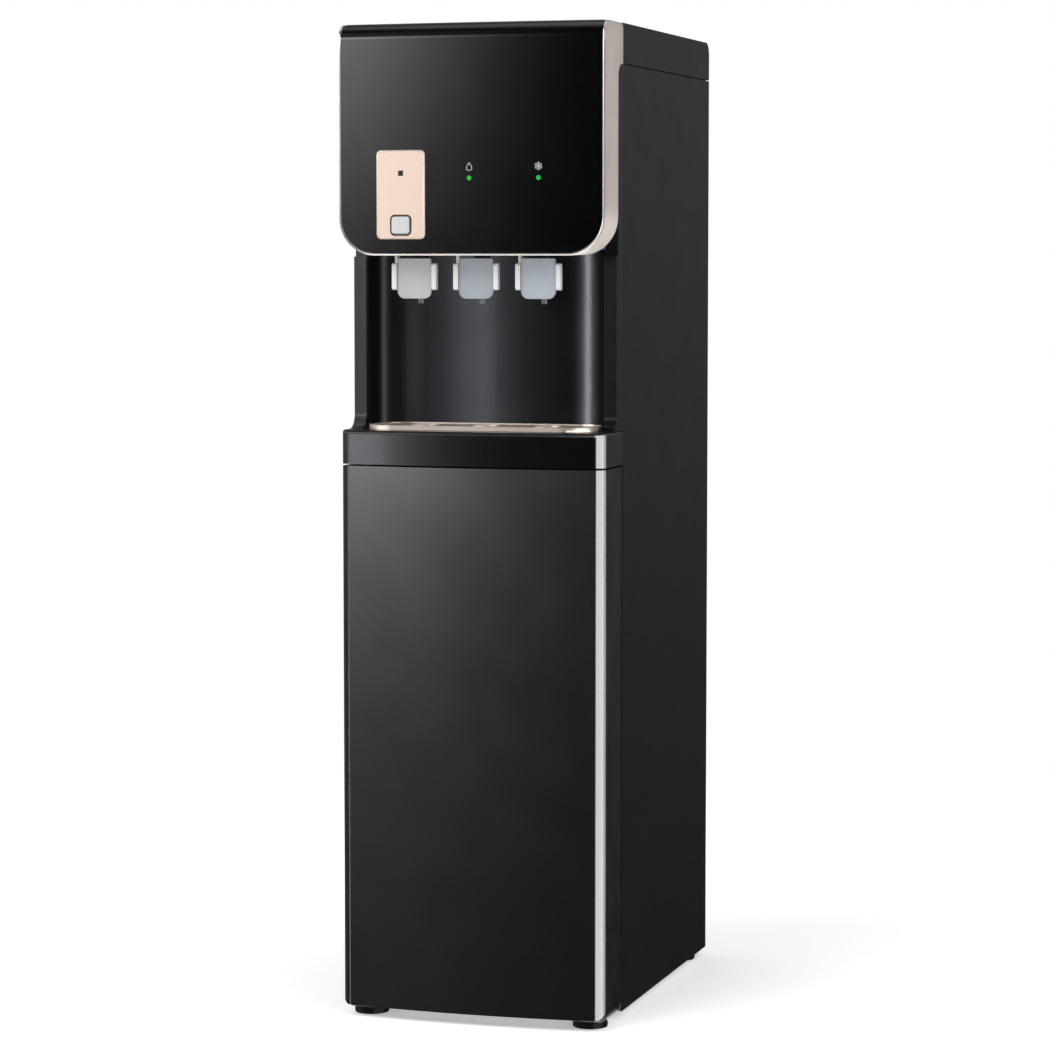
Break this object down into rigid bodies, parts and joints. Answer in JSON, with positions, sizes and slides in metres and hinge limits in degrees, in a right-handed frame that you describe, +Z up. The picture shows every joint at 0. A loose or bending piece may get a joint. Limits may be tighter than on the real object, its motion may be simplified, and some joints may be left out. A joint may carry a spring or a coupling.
{
  "type": "reverse osmosis water dispenser",
  "caption": "Free-standing black water dispenser with lever taps, a drip tray, a lower filter cabinet behind a hinged door and a bright-edged control head.",
  "frame": {"origin": "middle of the footprint, on the floor under the feet", "axes": "+Z up, -Y towards the front with the taps and the door, +X to the viewer's right"},
  "size_m": [0.29, 0.44, 1.05],
  "materials": {
    "zinc_steel": "zinc coated sheet",
    "black_steel": "satin black paint",
    "steel": "plain steel",
    "black_plastic": "fine satin",
    "gloss_black": "high gloss",
    "piano_panel": "high gloss",
    "bronze_grid": "metallised",
    "champagne_trim": "metallised",
    "rose_plate": "satin rose anodised",
    "silver_button": "satin silver",
    "green_lens": "clear light guide",
    "board": "solder mask",
    "clear_plastic": "translucent",
    "spring_steel": "plain wire",
    "white_plastic": "white moulded",
    "compressor_black": "black enamel",
    "rubber": "matte",
    "stainless": "stainless sheet",
    "foam": "expanded foam",
    "tank_plastic": "translucent white",
    "pump_black": "moulded with metal motor can",
    "tube_plastic": "polyethylene tube",
    "grey_paddle": "satin grey",
    "filter_white": "white moulded"
  },
  "bodies": {
    "cabinet": {"base_plate": "zinc_steel", "left_side_panel": "black_steel", "right_side_panel": "black_steel", "rear_panel": "zinc_steel", "rear_screws": "steel", "top_cover": "black_plastic", "tank_decks": "zinc_steel", "front_frame": "black_plastic", "alcove_liner": "gloss_black", "shelf_housing": "black_plastic", "shelf_front_band": "piano_panel", "hinge_pins": "steel", "door_catch": "black_plastic", "head_trim_band": "champagne_trim", "head_housing": "black_plastic", "head_front_panel": "gloss_black", "control_plate": "rose_plate", "indicator_lenses": "green_lens", "control_board": "board", "tap_valves": "black_plastic", "tap_nozzles": "clear_plastic", "tap_pins": "steel", "lever_springs": "spring_steel", "filter_bracket": "white_plastic", "compressor": "compressor_black", "compressor_mounts": "rubber", "condenser": "compressor_black", "cold_tank": "stainless", "cold_tank_foam": "foam", "hot_tank": "stainless", "water_tank": "tank_plastic", "water_tank_lid": "tank_plastic", "booster_pump": "pump_black", "solenoid_valve": "white_plastic", "rear_fittings": "white_plastic", "power_inlet": "black_plastic", "switch_bodies": "black_plastic", "water_tubes": "tube_plastic"},
    "door": {"door_frame": "black_plastic", "door_front_panel": "piano_panel"},
    "tray": {"drip_tray": "black_plastic"},
    "grid": {"tray_grid": "bronze_grid"},
    "button": {"lock_button": "silver_button"},
    "switch_hot": {"rocker_hot": "gloss_black"},
    "switch_cold": {"rocker_cold": "gloss_black"},
    "cap": {"drain_cap": "black_plastic"},
    "lever_left": {"tap_lever_left": "white_plastic", "tap_paddle_left": "grey_paddle"},
    "lever_middle": {"tap_lever_middle": "white_plastic", "tap_paddle_middle": "grey_paddle"},
    "lever_right": {"tap_lever_right": "white_plastic", "tap_paddle_right": "grey_paddle"},
    "filter_1": {"filter_cartridge_1": "filter_white"},
    "filter_2": {"filter_cartridge_2": "filter_white"},
    "filter_3": {"filter_cartridge_3": "filter_white"},
    "filter_4": {"filter_cartridge_4": "filter_white"},
    "foot_body_front_left": {"foot_front_left": "black_plastic"},
    "foot_body_front_right": {"foot_front_right": "black_plastic"},
    "foot_body_rear_left": {"foot_rear_left": "black_plastic"},
    "foot_body_rear_right": {"foot_rear_right": "black_plastic"}
  },
  "joints": [
    {"name": "door_hinge", "type": "hinge", "parent": "cabinet", "child": "door", "pos_m": [-0.133, -0.156, 0.3], "axis": [0, 0, -1], "range_deg": [0, 95]},
    {"name": "tray_lift", "type": "slide", "parent": "cabinet", "child": "tray", "axis": [0, 0, 1], "range_m": [0, 0.04]},
    {"name": "grid_lift", "type": "slide", "parent": "tray", "child": "grid", "axis": [0, 0, 1], "range_m": [0, 0.03]},
    {"name": "button_press", "type": "slide", "parent": "cabinet", "child": "button", "axis": [0, 1, 0], "range_m": [0, 0.0018], "stiffness_N_per_m": 600, "springref_m": -0.001},
    {"name": "tap_left_press", "type": "hinge", "parent": "cabinet", "child": "lever_left", "pos_m": [-0.068, -0.184, 0.82], "axis": [1, 0, 0], "range_deg": [0, 12], "stiffness_Nm_per_rad": 0.2, "springref_deg": -17.19, "deforming": ["lever_springs"]},
    {"name": "tap_middle_press", "type": "hinge", "parent": "cabinet", "child": "lever_middle", "pos_m": [0, -0.184, 0.82], "axis": [1, 0, 0], "range_deg": [0, 12], "stiffness_Nm_per_rad": 0.2, "springref_deg": -17.19, "deforming": ["lever_springs"]},
    {"name": "tap_right_press", "type": "hinge", "parent": "cabinet", "child": "lever_right", "pos_m": [0.068, -0.184, 0.82], "axis": [1, 0, 0], "range_deg": [0, 12], "stiffness_Nm_per_rad": 0.2, "springref_deg": -17.19, "deforming": ["lever_springs"]},
    {"name": "filter_1_twist", "type": "hinge", "parent": "cabinet", "child": "filter_1", "pos_m": [-0.099, -0.084, 0.528], "axis": [0, 0, 1], "range_deg": [0, 90]},
    {"name": "filter_2_twist", "type": "hinge", "parent": "cabinet", "child": "filter_2", "pos_m": [-0.033, -0.084, 0.528], "axis": [0, 0, 1], "range_deg": [0, 90]},
    {"name": "filter_3_twist", "type": "hinge", "parent": "cabinet", "child": "filter_3", "pos_m": [0.033, -0.084, 0.528], "axis": [0, 0, 1], "range_deg": [0, 90]},
    {"name": "filter_4_twist", "type": "hinge", "parent": "cabinet", "child": "filter_4", "pos_m": [0.099, -0.084, 0.528], "axis": [0, 0, 1], "range_deg": [0, 90]},
    {"name": "switch_hot_rock", "type": "hinge", "parent": "cabinet", "child": "switch_hot", "pos_m": [-0.05, 0.1917, 0.96], "axis": [1, 0, 0], "range_deg": [0, 14]},
    {"name": "switch_cold_rock", "type": "hinge", "parent": "cabinet", "child": "switch_cold", "pos_m": [-0.018, 0.1917, 0.96], "axis": [1, 0, 0], "range_deg": [0, 14]},
    {"name": "drain_cap_turn", "type": "hinge", "parent": "cabinet", "child": "cap", "pos_m": [-0.06, 0.197, 0.24], "axis": [0, 1, 0], "continuous": true},
    {"name": "foot_front_left_turn", "type": "hinge", "parent": "cabinet", "child": "foot_body_front_left", "pos_m": [-0.122, -0.18, 0.005], "axis": [0, 0, 1], "continuous": true},
    {"name": "foot_front_right_turn", "type": "hinge", "parent": "cabinet", "child": "foot_body_front_right", "pos_m": [0.122, -0.18, 0.005], "axis": [0, 0, 1], "continuous": true},
    {"name": "foot_rear_left_turn", "type": "hinge", "parent": "cabinet", "child": "foot_body_rear_left", "pos_m": [-0.122, 0.185, 0.005], "axis": [0, 0, 1], "continuous": true},
    {"name": "foot_rear_right_turn", "type": "hinge", "parent": "cabinet", "child": "foot_body_rear_right", "pos_m": [0.122, 0.185, 0.005], "axis": [0, 0, 1], "continuous": true}
  ]
}
